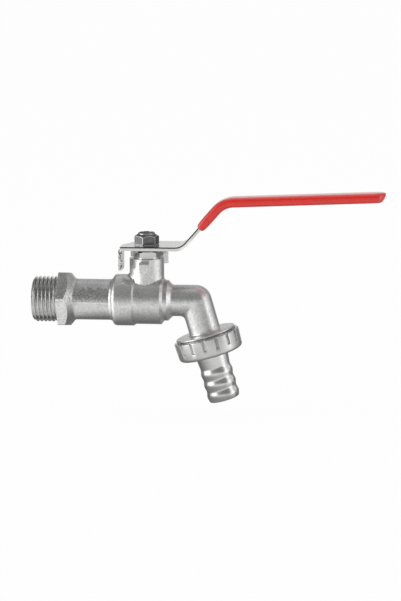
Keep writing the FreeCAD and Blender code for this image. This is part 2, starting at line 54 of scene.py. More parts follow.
# Small helpers for modelling
def deselectAll():
    if bpy.context.object and bpy.context.object.mode != "OBJECT":
        bpy.ops.object.mode_set(mode="OBJECT")
    for item in list(bpy.context.selected_objects):
        item.select_set(False)


def pick(piece):
    deselectAll()
    piece.select_set(True)
    bpy.context.view_layer.objects.active = piece


def applyModifiers(piece):
    pick(piece)
    for name in [modifier.name for modifier in piece.modifiers]:
        bpy.ops.object.modifier_apply(modifier=name)


def smooth(piece, angle=32):
    pick(piece)
    bpy.ops.object.shade_smooth_by_angle(angle=math.radians(angle))


def addModifier(piece, kind, **settings):
    modifier = piece.modifiers.new(kind.lower(), kind)
    for name, value in settings.items():
        setattr(modifier, name, value)
    return modifier


# Corners (a, b, round radius) in mm become a point list with true round stretches
def roundCorners(corners, arcSteps=5, closed=False):
    points = []
    count = len(corners)
    for i, corner in enumerate(corners):
        here = Vector(corner[:2])
        radius = corner[2] if len(corner) > 2 else 0
        if radius == 0 or (not closed and i in (0, count - 1)):
            points.append(here)
            continue
        back = (Vector(corners[i - 1][:2]) - here).normalized()
        ahead = (Vector(corners[(i + 1) % count][:2]) - here).normalized()
        half = back.angle(ahead) / 2
        start = here + back * radius / math.tan(half)
        end = here + ahead * radius / math.tan(half)
        middle = here + (back + ahead).normalized() * radius / math.sin(half)
        sweep = (start - middle).angle_signed(end - middle)
        for step in range(arcSteps + 1):
            turn = Matrix.Rotation(-sweep * step / arcSteps, 2)
            points.append(middle + turn @ (start - middle))
    return points


# A chain of points drawn in edit mode, from one vertex of a plane, (along X, out along Z)
def drawChain(name, points, closed=False):
    deselectAll()
    bpy.ops.mesh.primitive_plane_add(size=mm, location=(0, 0, 0))
    piece = bpy.context.object
    piece.name = name
    bpy.ops.object.mode_set(mode="EDIT")
    bpy.ops.mesh.select_all(action="SELECT")
    bpy.ops.mesh.merge(type="CENTER")
    places = [Vector((point[0], 0, point[1])) * mm for point in points]
    bpy.ops.transform.translate(value=places[0])
    for before, after in zip(places, places[1:]):
        bpy.ops.mesh.extrude_region_move(TRANSFORM_OT_translate={"value": after - before})
    if closed:
        bpy.ops.mesh.select_all(action="SELECT")
        mesh = bmesh.from_edit_mesh(piece.data)
        ends = [vertex for vertex in mesh.verts if len(vertex.link_edges) == 1]
        mesh.edges.new(ends)
        bmesh.update_edit_mesh(piece.data)
    return piece


# Turns an outline (along, radius) about the X axis
def turnPiece(name, corners, steps=96, arcSteps=5, closed=True):
    points = roundCorners(corners, arcSteps, closed)
    piece = drawChain(name, points, closed)
    bpy.ops.mesh.select_all(action="SELECT")
    bpy.ops.mesh.spin(steps=steps, angle=math.tau, center=(0, 0, 0), axis=(1, 0, 0))
    bpy.ops.mesh.select_all(action="SELECT")
    bpy.ops.mesh.remove_doubles(threshold=mm / 1000)
    bpy.ops.mesh.normals_make_consistent(inside=False)
    bpy.ops.object.mode_set(mode="OBJECT")
    return piece


# Puts a piece made about the X axis onto the outlet axis
def standOnOutlet(piece):
    turn = Vector((1, 0, 0)).rotation_difference(outletAxis).to_matrix().to_4x4()
    piece.data.transform(Matrix.Translation(outletStart) @ turn)
    return piece


def cutWith(piece, tool, operation="DIFFERENCE"):
    addModifier(piece, "BOOLEAN", operation=operation, object=tool, solver="EXACT")
    applyModifiers(piece)
    bpy.data.objects.remove(tool)
    return piece


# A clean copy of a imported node: its loose triangles are merged and shaded smooth by angle
def cleanCopy(node, name):
    deselectAll()
    piece = bpy.data.objects.new(name, nodes[node].data.copy())
    bpy.context.scene.collection.objects.link(piece)
    piece.data.materials.clear()
    pick(piece)
    bpy.ops.object.mode_set(mode="EDIT")
    bpy.ops.mesh.select_all(action="SELECT")
    bpy.ops.mesh.remove_doubles(threshold=mm / 500)
    bpy.ops.object.mode_set(mode="OBJECT")
    if "custom_normal" in piece.data.attributes:
        piece.data.attributes.remove(piece.data.attributes["custom_normal"])
    return piece


def finishPiece(piece, material, body, slot, *replaced):
    piece.data.materials.clear()
    piece.data.materials.append(material)
    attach(piece, body)
    if replaced:
        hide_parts(*replaced)
    print("made", piece.name, len(piece.data.polygons), "faces")
    return piece


# Materials: a socket that takes plain arithmetic, and one method for every other node
class Wire:
    def __init__(self, tree, socket):
        self.tree = tree
        self.socket = socket

    def math(self, operation, *others):
        values = [self.socket]
        for other in others:
            values.append(other.socket if isinstance(other, Wire) else other)
        node = self.tree.nodes.new("ShaderNodeMath")
        node.operation = operation
        for slot, value in zip(node.inputs, values):
            if isinstance(value, (int, float)):
                slot.default_value = value
            else:
                self.tree.links.new(value, slot)
        return Wire(self.tree, node.outputs[0])

    def __add__(self, other):
        return self.math("ADD", other)

    def __radd__(self, other):
        return self.math("ADD", other)

    def __sub__(self, other):
        return self.math("SUBTRACT", other)

    def __rsub__(self, other):
        return (self * -1).math("ADD", other)

    def __mul__(self, other):
        return self.math("MULTIPLY", other)

    def __rmul__(self, other):
        return self.math("MULTIPLY", other)

    def __pow__(self, other):
        return self.math("POWER", other)

    def limit(self):
        return self.math("MAXIMUM", 0.0).math("MINIMUM", 1.0)

    # 0 up to start, then a straight climb to 1 over the run, or a fall from 1 that ends at end
    def climb(self, start, run):
        return ((self - start) * (1 / run)).limit()

    def fall(self, end, run):
        return ((end - self) * (1 / run)).limit()


# A node tree with short ways to add nodes
class Graph:
    def __init__(self, tree):
        self.tree = tree

    def node(self, kind, settings=None, inputs=None, output=0):
        made = self.tree.nodes.new(kind)
        for name, value in (settings or {}).items():
            if name == "stops":
                while len(made.color_ramp.elements) < len(value):
                    made.color_ramp.elements.new(0.5)
                for element, (position, level) in zip(made.color_ramp.elements, value):
                    element.position = position
                    element.color = (level, level, level, 1)
            else:
                setattr(made, name, value)
        for name, value in (inputs or {}).items():
            if isinstance(value, Wire):
                self.tree.links.new(value.socket, made.inputs[name])
            else:
                made.inputs[name].default_value = value
        return Wire(self.tree, made.outputs[output])

    def place(self):
        return self.node("ShaderNodeTexCoord", output="Object")

    def part(self, vector, index):
        return self.node("ShaderNodeSeparateXYZ", inputs={"Vector": vector}, output=index)

    # Noise on the object's own coordinates, size is in mm
    def noise(self, size, detail=3.0, stretch=(1, 1, 1), roughness=0.55):
        scaled = self.node("ShaderNodeMapping", inputs={"Vector": self.place(), "Scale": stretch})
        return self.node("ShaderNodeTexNoise", inputs={
            "Vector": scaled, "Scale": 1 / (size * mm), "Detail": detail, "Roughness": roughness,
        })

    # Grey levels along a value
    def levels(self, value, stops):
        return self.node("ShaderNodeValToRGB", {"stops": stops}, {"Fac": value})

    # First and second are colours, or links that carry one
    def mix(self, share, first, second):
        first, second = (side if isinstance(side, Wire) else (*side, 1) for side in (first, second))
        return self.node("ShaderNodeMix", {"data_type": "RGBA"}, {0: share, 6: first, 7: second}, 2)

    # Where an edge stands out: the rounded normal leaves the true one
    def edges(self, width):
        rounded = self.node("ShaderNodeBevel", {"samples": 6}, {"Radius": width * mm})
        true = self.node("ShaderNodeNewGeometry", output="True Normal")
        dot = self.node("ShaderNodeVectorMath", {"operation": "DOT_PRODUCT"}, {0: rounded, 1: true}, output=1)
        return 1 - dot

    def bump(self, height, strength, depth, round=0.0):
        inputs = {"Height": height, "Strength": strength, "Distance": depth * mm}
        if round:
            inputs["Normal"] = self.node("ShaderNodeBevel", {"samples": 6}, {"Radius": round * mm})
        return self.node("ShaderNodeBump", inputs=inputs)


# A material, with the shader's sockets under short names
class Finish(Graph):
    sockets = {
        "colour": "Base Color", "metallic": "Metallic", "rough": "Roughness", "normal": "Normal",
        "coat": "Coat Weight", "coatRough": "Coat Roughness", "ior": "IOR", "specular": "Specular IOR Level",
    }

    def __init__(self, name):
        self.material = bpy.data.materials.new(name)
        self.material.use_nodes = True
        super().__init__(self.material.node_tree)
        self.shader = self.tree.nodes["Principled BSDF"]

    def set(self, **values):
        for name, value in values.items():
            socket = self.shader.inputs[self.sockets[name]]
            if isinstance(value, Wire):
                self.tree.links.new(value.socket, socket)
            else:
                socket.default_value = value
        return self.material


# Nickel plate over a brass forging: satin, with a fine blasted grain. Here and below a shade of 0 is the
# light colour and 1 the dark one, and sizes are in mm
forgedNickel = {
    "light": (0.84, 0.84, 0.835), "dark": (0.5, 0.5, 0.495), "cloudSize": 4.0, "grainSize": 0.85,
    "shadeStart": -0.95, "cloudShade": 0.7, "grainShade": 1.8, "edgeShade": 0.35, "edgeWidth": 0.35,
    "rough": 0.25, "speckRough": 0.08, "edgeRough": 0.06,
    "cloudBump": 0.4, "bump": 0.35, "bumpDepth": 0.3, "bumpRound": 0.25,
}
edgeGain = 3.0


def makeForgedNickel():
    look = forgedNickel
    finish = Finish("forgedNickel")
    cloud = finish.noise(look["cloudSize"], 4.0)
    grain = finish.noise(look["grainSize"], 3.0)
    edge = (finish.edges(look["edgeWidth"]) * edgeGain).limit()
    shade = cloud * look["cloudShade"] + grain * look["grainShade"] + look["shadeStart"]
    shade = shade - edge * look["edgeShade"]
    colour = finish.mix(shade.limit(), look["light"], look["dark"])
    rough = look["rough"] + (cloud + grain) * look["speckRough"] - edge * look["edgeRough"]
    bump = finish.bump(grain + cloud * look["cloudBump"], look["bump"], look["bumpDepth"], look["bumpRound"])
    return finish.set(colour=colour, metallic=1.0, rough=rough, normal=bump)


# Nickel plate over turned brass: fine rings left by the lathe, stacked along Z
turnedNickel = {
    "cloudSize": 4.0, "ringStretch": 0.02, "darker": 0.76, "shadeStart": -0.25, "cloudShade": 0.8,
    "ringShade": 0.3, "edgeShade": 0.3, "edgeWidth": 0.3, "roughStart": -0.04, "ringRough": 0.08,
    "cloudRough": 0.05, "cloudBump": 0.5, "bump": 0.5, "bumpRound": 0.18,
}


def makeTurnedNickel(name, light, rough, ringSize=0.22, ringDepth=0.01):
    look = turnedNickel
    finish = Finish(name)
    rings = finish.noise(ringSize, 2.0, (look["ringStretch"], look["ringStretch"], 1.0))
    cloud = finish.noise(look["cloudSize"], 3.0)
    edge = (finish.edges(look["edgeWidth"]) * edgeGain).limit()
    shade = cloud * look["cloudShade"] + rings * look["ringShade"] + look["shadeStart"]
    shade = shade - edge * look["edgeShade"]
    dark = tuple(value * look["darker"] for value in light)
    colour = finish.mix(shade.limit(), light, dark)
    rough = rings * look["ringRough"] + cloud * look["cloudRough"] + (rough + look["roughStart"])
    bump = finish.bump(rings + cloud * look["cloudBump"], look["bump"], ringDepth, look["bumpRound"])
    return finish.set(colour=colour, metallic=1.0, rough=rough, normal=bump)


# The inlet connector: a bright cut thread, then a blasted hexagon and tube. A parting line runs along the
# tube at the height of its axis, painted white as a highlight; the half above it is coarser, with painted
# shade on it
inletNickel = {
    "light": (0.78, 0.78, 0.775), "dark": (0.42, 0.42, 0.415), "lineHighlight": (1, 1, 1),
    "threadRough": 0.14, "blastedRough": 0.31, "hexRough": 0.36, "cloudRough": 0.06,
    "hexEnd": 9.0, "lineHalf": 0.4, "lineStart": 9.0, "lineEnd": 23.0, "upperEnd": 7.5,
    "cloudSize": 4.0, "grainSize": 0.85, "shadeStart": -0.05, "cloudShade": 0.7, "grainShade": 1.6,
    "upperGrain": 1.8, "upperShade": 0.3, "upperFlatShade": 0.45, "threadShade": 0.25, "edgeShade": 0.7,
    "edgeWidth": 0.5, "lineBump": 0.8, "cloudBump": 0.1, "bump": 0.35, "bumpDepth": 0.26, "bumpRound": 0.12,
}


def makeInletNickel():
    look = inletNickel
    finish = Finish("nickelInlet")
    place = finish.place()
    along = finish.part(place, 0)
    height = finish.part(place, 2)
    facing = finish.node("ShaderNodeTexCoord", output="Normal")
    cloud = finish.noise(look["cloudSize"], 4.0)
    grain = finish.noise(look["grainSize"], 3.0)
    blasted = along.climb(-0.6 * mm, 0.67 * mm)
    # Painted highlight: the edges of the hexagon and tube are painted lighter
    edge = (finish.edges(look["edgeWidth"]) * edgeGain).limit() * blasted
    # Painted shade: the upper half of the tube is darkened
    upper = height.climb(0.0, 0.4 * mm) * height.fall(look["upperEnd"] * mm, 1.67 * mm)
    onTube = along.climb(look["lineStart"] * mm, mm)
    # Painted highlight: the parting line's ridge is painted white, as light caught along it
    ridge = 1 - height.math("ABSOLUTE").climb(0.0, look["lineHalf"] * mm)
    line = ridge * onTube * along.fall(look["lineEnd"] * mm, mm)
    # Painted shade on the hexagon's upper flats, found by their normals, which the cone's don't share
    onHex = along.fall(look["hexEnd"] * mm, mm) * blasted
    flatSide = 1 - finish.part(facing, 0).math("ABSOLUTE").climb(0.0, 0.167)
    upperFlat = onHex * flatSide * finish.part(facing, 2).climb(0.0, 0.25)
    shade = cloud * look["cloudShade"] + look["shadeStart"] - edge * look["edgeShade"]
    shade = shade + (grain - 0.5) * (upper * look["upperGrain"] + look["grainShade"]) * blasted
    shade = shade + upper * onTube * look["upperShade"] + upperFlat * look["upperFlatShade"]
    shade = shade + (1 - blasted) * look["threadShade"]
    metal = finish.mix(shade.limit(), look["light"], look["dark"])
    colour = finish.mix(line, metal, look["lineHighlight"])
    rough = blasted * (look["blastedRough"] - look["threadRough"])
    rough = rough + onHex * (look["hexRough"] - look["blastedRough"])
    rough = rough + cloud * look["cloudRough"] + look["threadRough"]
    raised = (grain + line * look["lineBump"]) * blasted + cloud * look["cloudBump"]
    bump = finish.bump(raised, look["bump"], look["bumpDepth"], look["bumpRound"])
    return finish.set(colour=colour, metallic=1.0, rough=rough, normal=bump)


# Zinc-plated strip: bright, with painted shade in a dark line where its upper edge rolls over to the front,
# and a torn tab at its left end
leverSteel = {
    "face": (0.8, 0.8, 0.79), "line": (0.03, 0.03, 0.03), "torn": (0.1, 0.1, 0.1), "rough": 0.17,
    "lineWidth": 1.0, "tabFrom": 8.5, "tabTop": 24.3, "rolledSize": 0.5, "speckSize": 0.25, "tornSize": 0.75,
    "tornFrom": 0.47, "tornAside": 0.15, "rolledRough": 0.1, "speckRough": 0.05, "tornRough": 0.2,
    "rolledBump": 0.4, "speckBump": 0.3, "tornBump": 3.0, "bump": 0.5, "bumpDepth": 0.06, "bumpRound": 0.25,
}


def makeLeverSteel():
    look = leverSteel
    finish = Finish("leverSteel")
    place = finish.place()
    rolled = finish.noise(look["rolledSize"], 3.0, (0.03, 1, 0.03))
    speck = finish.noise(look["speckSize"], 4.0)
    torn = finish.noise(look["tornSize"], 4.0)
    # The rounded normal is turned back to the piece's own axes, so that the line stays put as the lever turns
    rounded = finish.node("ShaderNodeBevel", {"samples": 8}, {"Radius": look["lineWidth"] * mm})
    turnBack = {"vector_type": "NORMAL", "convert_from": "WORLD", "convert_to": "OBJECT"}
    rounded = finish.node("ShaderNodeVectorTransform", turnBack, {0: rounded})
    # Painted shade: the edge that turns from the top to the front is painted near black
    upward = finish.part(rounded, 2).climb(0.03, 0.083)
    frontward = finish.part(rounded, 1).fall(-0.03, 0.083)
    line = (upward * frontward * (1.9 - torn * 0.9)).limit()
    facing = finish.node("ShaderNodeTexCoord", output="Normal")
    atFront = finish.part(facing, 1).fall(-0.4, 0.25)
    onTab = finish.part(place, 0).fall(stemX - look["tabFrom"] * mm, 0.67 * mm)
    belowHead = finish.part(place, 2).fall(look["tabTop"] * mm, 1.25 * mm)
    blotch = torn.climb(look["tornFrom"], 0.11) * onTab * belowHead
    blotch = blotch * (atFront * (1 - look["tornAside"]) + look["tornAside"])
    metal = finish.mix(line, look["face"], look["line"])
    colour = finish.mix(blotch, metal, look["torn"])
    rough = rolled * look["rolledRough"] + speck * look["speckRough"] + blotch * look["tornRough"]
    rough = rough + look["rough"]
    raised = rolled * look["rolledBump"] + speck * look["speckBump"]
    raised = raised + torn * onTab * atFront * look["tornBump"]
    bump = finish.bump(raised, look["bump"], look["bumpDepth"], look["bumpRound"])
    return finish.set(colour=colour, metallic=1.0, rough=rough, normal=bump)


# Dipped vinyl: glossy red with a faint orange peel
dippedVinyl = {
    "colour": (0.82, 0.02, 0.01), "deep": (0.66, 0.01, 0.006), "rough": 0.3, "fineRough": 0.08,
    "peelSize": 2.6, "fineSize": 0.4, "deepStart": -0.35, "deepGain": 1.2, "fineBump": 0.12, "bump": 0.3,
    "bumpDepth": 0.1, "coat": 1.0, "coatRough": 0.07, "ior": 1.5, "specular": 0.3,
}


def makeDippedVinyl():
    look = dippedVinyl
    finish = Finish("dippedVinyl")
    peel = finish.noise(look["peelSize"], 2.0)
    fine = finish.noise(look["fineSize"], 2.0)
    colour = finish.mix((peel * look["deepGain"] + look["deepStart"]).limit(), look["colour"], look["deep"])
    bump = finish.bump(peel + fine * look["fineBump"], look["bump"], look["bumpDepth"])
    finish.set(coat=look["coat"], coatRough=look["coatRough"], ior=look["ior"], specular=look["specular"])
    return finish.set(colour=colour, rough=fine * look["fineRough"] + look["rough"], normal=bump)


# The lever nut's dark plated steel, lighter on its edges
nutSteel = {
    "face": (0.14, 0.14, 0.145), "edgeTone": (0.85, 0.85, 0.85), "rough": 0.14, "cloudRough": 0.1,
    "cloudSize": 1.6, "speckSize": 0.3, "edgeWidth": 0.65, "edgeStart": 0.045, "edgeRun": 0.0625,
    "edgeSpeck": 0.04, "cloudShade": 0.25, "bump": 0.4, "bumpDepth": 0.02, "bumpRound": 0.25,
}


def makeNutSteel():
    look = nutSteel
    finish = Finish("nutSteel")
    cloud = finish.noise(look["cloudSize"], 3.0)
    speck = finish.noise(look["speckSize"], 3.0)
    edge = finish.edges(look["edgeWidth"]) + speck * look["edgeSpeck"]
    edge = edge.climb(look["edgeStart"], look["edgeRun"])
    colour = finish.mix((edge + (cloud - 0.5) * look["cloudShade"]).limit(), look["face"], look["edgeTone"])
    bump = finish.bump(speck + cloud, look["bump"], look["bumpDepth"], look["bumpRound"])
    rough = cloud * look["cloudRough"] + look["rough"]
    return finish.set(colour=colour, metallic=1.0, rough=rough, normal=bump)


# One plain finish for the small and the hidden pieces, lightly clouded
plain = {
    "cloudSize": 1.2, "roughStart": -0.05, "cloudRough": 0.1,
    "bump": 0.4, "bumpDepth": 0.02, "bumpRound": 0.15,
}


def makePlain(name, light, dark, rough, metallic=0.0):
    finish = Finish(name)
    cloud = finish.noise(plain["cloudSize"], 4.0)
    colour = finish.mix(cloud, light, dark)
    bump = finish.bump(cloud, plain["bump"], plain["bumpDepth"], plain["bumpRound"])
    rough = cloud * plain["cloudRough"] + (rough + plain["roughStart"])
    return finish.set(colour=colour, metallic=metallic, rough=rough, normal=bump)


nickelBody = makeForgedNickel()
nickelInlet = makeInletNickel()
nickelTail = makeTurnedNickel("nickelTail", (0.8, 0.8, 0.795), 0.22, 0.5, 0.005)
nickelGland = makeTurnedNickel("nickelGland", (0.74, 0.74, 0.735), 0.16)
nickelUnion = makeTurnedNickel("nickelUnion", (0.74, 0.74, 0.735), 0.34, 0.3, 0.02)
steelPlate = makeLeverSteel()
redVinyl = makeDippedVinyl()
steelNut = makeNutSteel()
# The stem's brass is painted dark and dull, as shade in the gap under the lever plate
bareBrass = makePlain("bareBrass", (0.5, 0.43, 0.3), (0.34, 0.28, 0.18), 0.3, 1.0)
chromedBall = makePlain("chromedBall", (0.84, 0.84, 0.85), (0.74, 0.74, 0.76), 0.08, 1.0)
sealRubber = makePlain("sealRubber", (0.03, 0.03, 0.03), (0.012, 0.012, 0.012), 0.65)
seatPlastic = makePlain("seatPlastic", (0.9, 0.9, 0.88), (0.82, 0.82, 0.8), 0.45)
insertNylon = makePlain("insertNylon", (0.06, 0.07, 0.1), (0.03, 0.035, 0.05), 0.45)
print("materials ready")


# Inlet connector: real pipe thread, hexagon turned to a cone, plain tube with its inner end
inlet = {
    "threadRadius": 10.4775, "pitch": 1.814, "depth": 1.162, "length": 12.0, "chamfer": 1.1,
    "threadSteps": 72, "profileSteps": 12, "crestFlat": 0.14, "easing": 0.45,
    "rootMargin": 0.1, "runOut": 0.9, "runOutSlope": 1.1,
    "flats": 24.0, "hexFull": 3.4, "hexChamfer": 0.3, "hexTurn": 10.0, "hexEdge": 0.7, "underHex": 0.3,
    "coneAngle": 50.0, "coneRound": 1.6, "cornerMargin": 0.01, "overlap": 3.0,
    "tubeRadius": 9.35, "tubeBack": 1.2, "tubeRound": 0.6, "bodyStart": 24.9, "jointGap": 0.3,
    "jointRadius": 9.9, "jointRound": 0.1, "jointLength": 3.9, "noseRadius": 8.7, "noseEnd": 31.3,
    "bore": 7.0, "boreEnd": 26.1, "boreFlare": 1.5, "throat": 5.2, "throatRun": 1.8,
}


# share is 0 to 1 over one pitch with the crest in the middle: straight flanks, rounded crest and root
def threadHeight(share):
    fromCrest = abs(share - 0.5) * 2
    flank = min(max((fromCrest - inlet["crestFlat"]) / (1 - 2 * inlet["crestFlat"]), 0), 1)
    eased = flank * flank * (3 - 2 * flank)
    return 1 - ((1 - inlet["easing"]) * flank + inlet["easing"] * eased)


def makeInletThread():
    root = inlet["threadRadius"] - inlet["depth"]
    turns = int(inlet["length"] / inlet["pitch"]) + 4
    start = -inlet["length"] - 2 * inlet["pitch"]
    points = []
    for step in range(inlet["profileSteps"] + 1):
        share = step / inlet["profileSteps"]
        points.append((start + inlet["pitch"] * share, root + inlet["depth"] * threadHeight(share)))
    thread = drawChain("inletThread", points)
    bpy.ops.object.mode_set(mode="OBJECT")
    addModifier(thread, "SCREW", axis="X", angle=math.tau, screw_offset=inlet["pitch"] * mm, iterations=turns,
                steps=inlet["threadSteps"], render_steps=inlet["threadSteps"], use_merge_vertices=True,
                merge_threshold=mm / 200)
    applyModifiers(thread)
    bpy.ops.object.mode_set(mode="EDIT")
    bpy.ops.mesh.select_all(action="SELECT")
    bpy.ops.mesh.remove_doubles(threshold=mm / 200)
    for place, side in ((-inlet["length"], -1), (inlet["underHex"], 1)):
        bpy.ops.mesh.select_all(action="SELECT")
        bpy.ops.mesh.bisect(plane_co=(place * mm, 0, 0), plane_no=(side, 0, 0), use_fill=True,
                            clear_outer=True, threshold=mm / 1000)
    bpy.ops.mesh.select_all(action="SELECT")
    bpy.ops.mesh.normals_make_consistent(inside=False)
    # The first thread runs out on the end's chamfer, the last into the groove beside the hexagon
    mesh = bmesh.from_edit_mesh(thread.data)
    lowest = root + inlet["rootMargin"]
    for vertex in mesh.verts:
        radius = math.hypot(vertex.co.y, vertex.co.z)
        along = vertex.co.x / mm
        startLimit = inlet["threadRadius"] - inlet["chamfer"] + (along + inlet["length"])
        endLimit = lowest + max(-along - inlet["runOut"], 0) * inlet["runOutSlope"]
        limit = min(startLimit, endLimit) * mm
        if radius > limit:
            vertex.co.y *= limit / radius
            vertex.co.z *= limit / radius
    bmesh.update_edit_mesh(thread.data)
    bpy.ops.object.mode_set(mode="OBJECT")
    return thread


def makeHexPrism(name, flats, start, end, turn):
    deselectAll()
    corner = flats / math.sqrt(3)
    bpy.ops.mesh.primitive_cylinder_add(vertices=6, radius=corner * mm, depth=(end - start) * mm)
    prism = bpy.context.object
    prism.name = name
    stand = Matrix.Rotation(math.radians(90), 4, "Y")
    spin = Matrix.Rotation(math.radians(turn), 4, "X")
    prism.data.transform(Matrix.Translation(Vector(((start + end) / 2 * mm, 0, 0))) @ spin @ stand)
    return prism


def makeInletConnector():
    corner = inlet["flats"] / math.sqrt(3)
    coneRun = (corner - inlet["tubeRadius"]) / math.tan(math.radians(inlet["coneAngle"]))
    coneEnd = inlet["hexFull"] + coneRun
    tubeRadius = inlet["tubeRadius"]
    outer = corner + inlet["cornerMargin"]
    cone = turnPiece("inletCone", [
        (0, 0), (0, corner - inlet["hexChamfer"]), (inlet["hexChamfer"], outer), (inlet["hexFull"], outer),
        (coneEnd, tubeRadius, inlet["coneRound"]), (coneEnd + inlet["overlap"], tubeRadius),
        (coneEnd + inlet["overlap"], 0),
    ], 120, 8)
    # A corner of the prism faces the viewer, turned up a little
    prism = makeHexPrism("inletPrism", inlet["flats"], -1, coneEnd + inlet["overlap"] + 1, -inlet["hexTurn"])
    addModifier(prism, "BEVEL", width=inlet["hexEdge"] * mm, segments=4, limit_method="ANGLE",
                angle_limit=math.radians(40))
    applyModifiers(prism)
    collar = cutWith(cone, prism, "INTERSECT")
    bodyStart = inlet["bodyStart"]
    jointEnd = bodyStart + inlet["jointLength"]
    tube = turnPiece("inletTube", [
        (coneEnd, 0), (coneEnd, tubeRadius), (bodyStart - inlet["tubeBack"], tubeRadius, inlet["tubeRound"]),
        (bodyStart - inlet["jointGap"], inlet["jointRadius"], inlet["jointRound"]),
        (jointEnd, inlet["jointRadius"]), (jointEnd, inlet["noseRadius"]),
        (inlet["noseEnd"], inlet["noseRadius"]), (inlet["noseEnd"], 0),
    ], 120)
    piece = cutWith(collar, makeInletThread(), "UNION")
    piece = cutWith(piece, tube, "UNION")
    mouth = -inlet["length"]
    bore = turnPiece("inletBore", [
        (mouth - 1, 0), (mouth - 1, inlet["bore"] + inlet["boreFlare"]), (mouth + 0.5, inlet["bore"]),
        (inlet["boreEnd"], inlet["bore"]), (inlet["boreEnd"] + inlet["throatRun"], inlet["throat"]),
        (inlet["noseEnd"] + 1, inlet["throat"]), (inlet["noseEnd"] + 1, 0),
    ], 96)
    piece = cutWith(piece, bore)
    piece.name = "inlet_connector_turned"
    smooth(piece, 28)
    return piece


finishPiece(makeInletConnector(), nickelInlet, "valve", "nickel_turned", "inlet_connector")


# Hose tail: three rounded ridges, a bore and a flange held by the union nut
tail = {
    "flangeStart": 22.22, "flangeEnd": 23.8, "flangeRadius": 11.8, "flangeRound": 0.2, "neckRadius": 7.45,
    "neckEnd": 26.6, "neckRound": 0.8, "firstValley": 31.6, "valley": 6.9, "valleyRound": 2.6,
    "ridge": 7.57, "crestRound": 4.2, "pitch": 5.15, "rise": 2.5, "ridges": 3,
    "end": 47.2, "endRadius": 6.88, "endRound": 0.9, "bore": 5.25, "mouthFlare": 0.5,
}


def makeHoseTail():
    corners = [
        (tail["flangeStart"], tail["bore"]), (tail["flangeStart"], tail["flangeRadius"], tail["flangeRound"]),
        (tail["flangeEnd"], tail["flangeRadius"], tail["flangeRound"]),
        (tail["flangeEnd"], tail["neckRadius"]),
        (tail["neckEnd"], tail["neckRadius"], tail["neckRound"]),
    ]
    for i in range(tail["ridges"]):
        low = tail["firstValley"] + tail["pitch"] * i
        corners.append((low, tail["valley"], tail["valleyRound"]))
        corners.append((low + tail["rise"], tail["ridge"], tail["crestRound"]))
    corners.append((tail["end"], tail["endRadius"], tail["endRound"]))
    corners.append((tail["end"], tail["bore"] + tail["mouthFlare"]))
    corners.append((tail["end"] - tail["mouthFlare"], tail["bore"]))
    piece = turnPiece("hose_tail_ridged", corners, 128, 8)
    standOnOutlet(piece)
    smooth(piece, 30)
    return piece


finishPiece(makeHoseTail(), nickelTail, "tail", "nickel_turned", "hose_tail")


# Union nut: sixteen slots cut down from the top rim
union = {
    "top": 16.7, "bottom": 25.4, "radiusTop": 15.2, "radiusBottom": 14.8, "bore": 13.52, "lip": 1.6,
    "boreRound": 0.2, "topRound": 0.35, "bottomRound": 1.6, "tailHole": 7.75, "holeRound": 0.15,
    "slots": 16, "slotWidth": 1.7, "slotDepth": 1.1, "slotLength": 5.0, "slotRound": 0.45,
    "toolOver": 2.0, "toolHeight": 4.0, "edge": 0.12,
}


def makeUnionNut():
    top, bottom = union["top"], union["bottom"]
    piece = turnPiece("union_nut_slotted", [
        (top, union["bore"], union["boreRound"]), (top, union["radiusTop"], union["topRound"]),
        (bottom, union["radiusBottom"], union["bottomRound"]),
        (bottom, union["tailHole"], union["holeRound"]),
        (bottom - union["lip"], union["tailHole"]), (bottom - union["lip"], union["bore"]),
    ], 144, 6)
    deselectAll()
    length = union["slotLength"] + union["toolOver"]
    height = union["toolHeight"]
    bpy.ops.mesh.primitive_cube_add(size=1)
    cutter = bpy.context.object
    cutter.data.transform(Matrix.Diagonal((length * mm, union["slotWidth"] * mm, height * mm, 1)))
    place = (top - union["toolOver"] + length / 2, 0, union["radiusTop"] - union["slotDepth"] + height / 2)
    cutter.data.transform(Matrix.Translation(Vector(place) * mm))
    addModifier(cutter, "BEVEL", width=union["slotRound"] * mm, segments=4, limit_method="ANGLE")
    applyModifiers(cutter)
    tools = [cutter]
    for i in range(1, union["slots"]):
        copy = cutter.copy()
        copy.data = cutter.data.copy()
        bpy.context.scene.collection.objects.link(copy)
        copy.data.transform(Matrix.Rotation(math.tau * i / union["slots"], 4, "X"))
        tools.append(copy)
    deselectAll()
    for tool in tools:
        tool.select_set(True)
    bpy.context.view_layer.objects.active = cutter
    bpy.ops.object.join()
    piece = cutWith(piece, cutter)
    addModifier(piece, "BEVEL", width=union["edge"] * mm, segments=2, limit_method="ANGLE",
                angle_limit=math.radians(50))
    applyModifiers(piece)
    standOnOutlet(piece)
    smooth(piece, 32)
    return piece


finishPiece(makeUnionNut(), nickelUnion, "nut", "nickel_satin", "union_nut")


# Sleeve: dipped skin that follows the lever's rise and grip, thin at its lip, round at its tip. Points are
# (out from the stem, up), and the shares say where its rings lie along the rise and along the grip
sleeve = {
    "bendOne": (17.2, 24.95), "bendTwo": (35.2, 45.3), "tip": (107.0, 48.1), "bendRadius": 11.0,
    "start": 11.4, "width": 12.4, "thick": 4.6, "sectionPoints": 24, "sidePower": 0.5, "upPower": 0.575,
    "lipWidth": 11.3, "lipThick": 3.0, "lipRun": 2.2,
    "lipTurn": (0.78, 0.86, 0.62), "lipStep": (0.9, 0.0, 1.0),
    "tipWall": 1.3, "tipLift": 0.8, "tipFullness": 1.35, "tipInset": 0.3,
    "leastWidth": 0.12, "leastThick": 0.3,
    "riseShares": (0, 0.01, 0.05, 0.12, 0.35, 0.6, 0.85),
    "gripShares": (0.1, 0.3, 0.5, 0.7, 0.86, 0.915, 0.945, 0.965, 0.98, 0.99, 0.997, 1),
}


